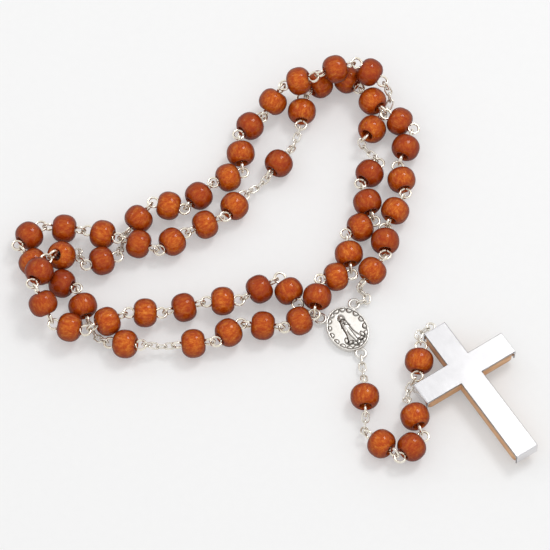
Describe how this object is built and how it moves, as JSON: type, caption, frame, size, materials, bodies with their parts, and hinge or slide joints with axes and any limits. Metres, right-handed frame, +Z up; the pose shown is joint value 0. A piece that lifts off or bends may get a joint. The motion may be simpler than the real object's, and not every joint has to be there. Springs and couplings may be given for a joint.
{
  "type": "rosary",
  "caption": "Rosary laid in a double winding: a loop of wooden beads on wire pins and chain links, a medal, and a pendant strand of beads with a metal-faced wooden cross.",
  "frame": {"origin": "on the floor, under the middle of the laid-down rosary", "axes": "+Z up from the surface it lies on, +X across towards the cross, +Y away from the viewer"},
  "size_m": [0.1256, 0.1094, 0.0135],
  "materials": {
    "bead_wood": "stained reddish brown, clear gloss lacquer",
    "pin_wire": "bright silver-plated wire",
    "chain_wire": "bright silver-plated wire",
    "medal_metal": "antiqued silver plate, dark in the recesses",
    "cross_wood": "light stained wood, satin",
    "plate_metal": "bright polished plate",
    "cast_metal": "silver-plated casting"
  },
  "bodies": {
    "loop": {"medal": "medal_metal", "loop_chain_1": "chain_wire", "decade_1_pins": "pin_wire", "decade_1_beads": "bead_wood", "loop_chain_2": "chain_wire", "single_1_pin": "pin_wire", "loop_chain_3": "chain_wire", "decade_2_pins": "pin_wire", "decade_2_beads": "bead_wood", "loop_chain_4": "chain_wire", "single_2_pin": "pin_wire", "loop_chain_5": "chain_wire", "decade_3_pins": "pin_wire", "decade_3_beads": "bead_wood", "loop_chain_6": "chain_wire", "single_3_pin": "pin_wire", "loop_chain_7": "chain_wire", "decade_4_pins": "pin_wire", "decade_4_beads": "bead_wood", "loop_chain_8": "chain_wire", "single_4_pin": "pin_wire", "loop_chain_9": "chain_wire", "decade_5_pins": "pin_wire", "decade_5_beads": "bead_wood", "loop_chain_10": "chain_wire"},
    "pendant_link_1": {"pendant_link_1": "chain_wire"},
    "pendant_link_2": {"pendant_link_2": "chain_wire"},
    "pendant_link_3": {"pendant_link_3": "chain_wire"},
    "pendant_link_4": {"pendant_link_4": "chain_wire"},
    "pendant_pin_1": {"pendant_pin_1": "pin_wire"},
    "pendant_link_5": {"pendant_link_5": "chain_wire"},
    "pendant_link_6": {"pendant_link_6": "chain_wire"},
    "pendant_link_7": {"pendant_link_7": "chain_wire"},
    "pendant_pin_2": {"pendant_pin_2": "pin_wire"},
    "pendant_pin_3": {"pendant_pin_3": "pin_wire"},
    "pendant_pin_4": {"pendant_pin_4": "pin_wire"},
    "pendant_link_8": {"pendant_link_8": "chain_wire"},
    "pendant_link_9": {"pendant_link_9": "chain_wire"},
    "pendant_link_10": {"pendant_link_10": "chain_wire"},
    "pendant_link_11": {"pendant_link_11": "chain_wire"},
    "pendant_pin_5": {"pendant_pin_5": "pin_wire"},
    "pendant_link_12": {"pendant_link_12": "chain_wire"},
    "pendant_link_13": {"pendant_link_13": "chain_wire"},
    "pendant_link_14": {"pendant_link_14": "chain_wire"},
    "cross": {"cross_core": "cross_wood", "cross_plate": "plate_metal", "cross_eyelet": "cast_metal", "cross_figure": "cast_metal", "cross_plaque": "cast_metal", "cross_nails": "cast_metal"},
    "pendant_bead_1": {"pendant_bead_1": "bead_wood"},
    "pendant_bead_2": {"pendant_bead_2": "bead_wood"},
    "pendant_bead_3": {"pendant_bead_3": "bead_wood"},
    "pendant_bead_4": {"pendant_bead_4": "bead_wood"},
    "pendant_bead_5": {"pendant_bead_5": "bead_wood"},
    "single_1_bead": {"single_1_bead": "bead_wood"},
    "single_2_bead": {"single_2_bead": "bead_wood"},
    "single_3_bead": {"single_3_bead": "bead_wood"},
    "single_4_bead": {"single_4_bead": "bead_wood"}
  },
  "joints": [
    {"name": "pendant_link_1_turn", "type": "hinge", "parent": "loop", "child": "pendant_link_1", "pos_m": [0.02163, -0.0244, 0.00104], "axis": [0, 0, 1], "range_deg": [-20, 35]},
    {"name": "pendant_link_2_bend", "type": "hinge", "parent": "pendant_link_1", "child": "pendant_link_2", "pos_m": [0.02183, -0.02672, 0.00105], "axis": [0.9962, 0.087, -0.0001], "range_deg": [-20, 35]},
    {"name": "pendant_link_3_turn", "type": "hinge", "parent": "pendant_link_2", "child": "pendant_link_3", "pos_m": [0.022, -0.0287, 0.00129], "axis": [0.0102, -0.1185, -0.9929], "range_deg": [-20, 30]},
    {"name": "pendant_link_4_bend", "type": "hinge", "parent": "pendant_link_3", "child": "pendant_link_4", "pos_m": [0.02216, -0.0306, 0.00173], "axis": [-0.9967, -0.0812, 0.0026], "range_deg": [-20, 30]},
    {"name": "pendant_pin_1_turn", "type": "hinge", "parent": "pendant_link_4", "child": "pendant_pin_1", "pos_m": [0.02229, -0.03231, 0.00269], "axis": [-0.0341, 0.4859, 0.8733], "range_deg": [-15, 30]},
    {"name": "pendant_link_5_bend", "type": "hinge", "parent": "pendant_pin_1", "child": "pendant_link_5", "pos_m": [0.02249, -0.04098, 0.00381], "axis": [-0.9987, -0.0294, -0.0427], "range_deg": [-15, 36]},
    {"name": "pendant_link_6_turn", "type": "hinge", "parent": "pendant_link_5", "child": "pendant_link_6", "pos_m": [0.02249, -0.04275, 0.00268], "axis": [0.0378, 0.5376, -0.8424], "range_deg": [-20, 30]},
    {"name": "pendant_link_7_bend", "type": "hinge", "parent": "pendant_link_6", "child": "pendant_link_7", "pos_m": [0.0223, -0.0445, 0.00202], "axis": [0.9948, -0.1011, -0.0095], "range_deg": [-15, 36]},
    {"name": "pendant_pin_2_turn", "type": "hinge", "parent": "pendant_link_7", "child": "pendant_pin_2", "pos_m": [0.02214, -0.0462, 0.00287], "axis": [-0.0448, -0.4442, -0.8948], "range_deg": [0, 56]},
    {"name": "pendant_pin_3_bend", "type": "hinge", "parent": "pendant_pin_2", "child": "pendant_pin_3", "pos_m": [0.0291, -0.05197, 0.00381], "axis": [0.6416, 0.7433, -0.1894], "range_deg": [0, 35]},
    {"name": "pendant_pin_4_turn", "type": "hinge", "parent": "pendant_pin_3", "child": "pendant_pin_4", "pos_m": [0.03603, -0.0478, 0.00381], "axis": [0.0001, 0.0001, -1], "range_deg": [0, 64]},
    {"name": "pendant_link_8_bend", "type": "hinge", "parent": "pendant_pin_4", "child": "pendant_link_8", "pos_m": [0.03293, -0.03872, 0.00323], "axis": [0.9347, 0.3281, 0.1363], "range_deg": [0, 35]},
    {"name": "pendant_link_9_turn", "type": "hinge", "parent": "pendant_link_8", "child": "pendant_link_9", "pos_m": [0.03215, -0.03701, 0.00173], "axis": [-0.4254, 0.4779, 0.7685], "range_deg": [0, 65]},
    {"name": "pendant_link_10_bend", "type": "hinge", "parent": "pendant_link_9", "child": "pendant_link_10", "pos_m": [0.0328, -0.03519, 0.0015], "axis": [-0.8865, 0.2713, -0.3748], "range_deg": [-15, 8]},
    {"name": "pendant_link_11_turn", "type": "hinge", "parent": "pendant_link_10", "child": "pendant_link_11", "pos_m": [0.03348, -0.03353, 0.00227], "axis": [-0.2394, -0.3239, 0.9153], "range_deg": [0, 30]},
    {"name": "pendant_pin_5_bend", "type": "hinge", "parent": "pendant_link_11", "child": "pendant_pin_5", "pos_m": [0.03428, -0.03243, 0.00317], "axis": [-0.8145, 0.58, 0.014], "range_deg": [0, 30]},
    {"name": "pendant_link_12_turn", "type": "hinge", "parent": "pendant_pin_5", "child": "pendant_link_12", "pos_m": [0.03595, -0.0239, 0.0038], "axis": [-0.0098, -0.0722, 0.9973], "range_deg": [0, 35]},
    {"name": "pendant_link_13_bend", "type": "hinge", "parent": "pendant_link_12", "child": "pendant_link_13", "pos_m": [0.03551, -0.02184, 0.00353], "axis": [-0.9786, -0.2059, 0.0014], "range_deg": [-15, 16]},
    {"name": "pendant_link_14_turn", "type": "hinge", "parent": "pendant_link_13", "child": "pendant_link_14", "pos_m": [0.0357, -0.02019, 0.00345], "axis": [0.0175, 0.0489, 0.9986], "range_deg": [0, 40]},
    {"name": "cross_bend", "type": "hinge", "parent": "pendant_link_14", "child": "cross", "pos_m": [0.0374, -0.01922, 0.0037], "axis": [0.4973, -0.8674, 0.0169], "range_deg": [-15, 20]},
    {"name": "pendant_bead_1_spin", "type": "hinge", "parent": "pendant_pin_1", "child": "pendant_bead_1", "pos_m": [0.02239, -0.03713, 0.00352], "axis": [0.0262, -0.9968, 0.0754], "continuous": true},
    {"name": "pendant_bead_2_spin", "type": "hinge", "parent": "pendant_pin_2", "child": "pendant_bead_2", "pos_m": [0.02615, -0.0495, 0.00352], "axis": [0.7643, -0.6405, 0.0754], "continuous": true},
    {"name": "pendant_bead_3_spin", "type": "hinge", "parent": "pendant_pin_3", "child": "pendant_bead_3", "pos_m": [0.03325, -0.05047, 0.00381], "axis": [0.7223, 0.6915, 0.0001], "continuous": true},
    {"name": "pendant_bead_4_spin", "type": "hinge", "parent": "pendant_pin_4", "child": "pendant_bead_4", "pos_m": [0.03417, -0.04237, 0.00352], "axis": [-0.3205, 0.9442, -0.0756], "continuous": true},
    {"name": "pendant_bead_5_spin", "type": "hinge", "parent": "pendant_pin_5", "child": "pendant_bead_5", "pos_m": [0.03543, -0.02772, 0.00352], "axis": [0.1339, 0.9883, 0.0729], "continuous": true},
    {"name": "single_1_bead_spin", "type": "hinge", "parent": "loop", "child": "single_1_bead", "pos_m": [0.00199, 0.02658, 0.00352], "axis": [-0.5963, -0.8027, -0.0106], "continuous": true},
    {"name": "single_2_bead_spin", "type": "hinge", "parent": "loop", "child": "single_2_bead", "pos_m": [-0.03474, -0.02313, 0.00352], "axis": [0.9706, -0.1643, 0.1761], "continuous": true},
    {"name": "single_3_bead_spin", "type": "hinge", "parent": "loop", "child": "single_3_bead", "pos_m": [0.02502, 0.03626, 0.00356], "axis": [0.4959, 0.8181, -0.2911], "continuous": true},
    {"name": "single_4_bead_spin", "type": "hinge", "parent": "loop", "child": "single_4_bead", "pos_m": [-0.04082, -0.00058, 0.00352], "axis": [-0.9486, -0.3133, 0.0441], "continuous": true}
  ]
}
